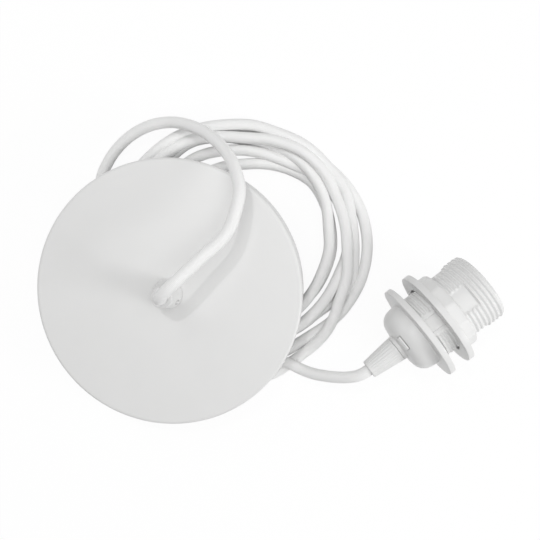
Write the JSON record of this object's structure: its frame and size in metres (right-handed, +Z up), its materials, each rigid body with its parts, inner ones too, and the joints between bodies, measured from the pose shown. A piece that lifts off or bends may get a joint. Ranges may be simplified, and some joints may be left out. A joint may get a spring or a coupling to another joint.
{
  "type": "pendant cord set",
  "caption": "Pendant cord set: round ceiling rose with a centre cord grip, a coiled textile cord and a screw-shell lamp holder with a flange and a shade ring.",
  "frame": {"origin": "centre of the footprint of the ceiling rose and the lamp holder, on the surface that they lie on", "axes": "+X along the lamp holder's axis towards its mouth, +Z up from the surface, +Y completes the frame"},
  "size_m": [0.2083, 0.2156, 0.0684],
  "materials": {
    "white_paint": "satin white moulding",
    "white_plastic": "satin white moulding",
    "grey_plastic": "plain light grey moulding",
    "textile": "fine white braid",
    "ceramic": "unglazed off-white",
    "brass": "plain",
    "nickel": "nickel plated",
    "brown_insulation": "plain",
    "blue_insulation": "plain"
  },
  "bodies": {
    "set": {"rose_cup": "white_paint", "rose_cord_grip": "white_plastic", "rose_grip_nut": "white_plastic", "rose_grip_screw": "white_plastic", "terminal_block": "grey_plastic", "terminal_sleeve_live": "brass", "terminal_sleeve_neutral": "brass", "terminal_screw_1": "nickel", "terminal_screw_2": "nickel", "terminal_screw_3": "nickel", "terminal_screw_4": "nickel", "rose_wire_brown": "brown_insulation", "rose_wire_blue": "blue_insulation", "cord_arch": "textile", "cord_coil": "textile", "cord_tail": "textile", "holder_cord_grip": "white_plastic", "holder_collet": "grey_plastic", "holder_cap": "white_plastic", "cap_latch": "white_plastic", "holder_barrel": "white_plastic", "contact_carrier": "ceramic", "screw_shell": "nickel", "centre_contact": "brass", "holder_screw_live": "nickel", "holder_screw_neutral": "nickel", "holder_wire_brown": "brown_insulation", "holder_wire_blue": "blue_insulation"},
    "ring": {"shade_ring": "white_plastic"}
  },
  "joints": [
    {"name": "shade_ring_travel", "type": "slide", "parent": "set", "child": "ring", "axis": [1, 0, 0], "range_m": [-0.0084, 0.02]}
  ]
}
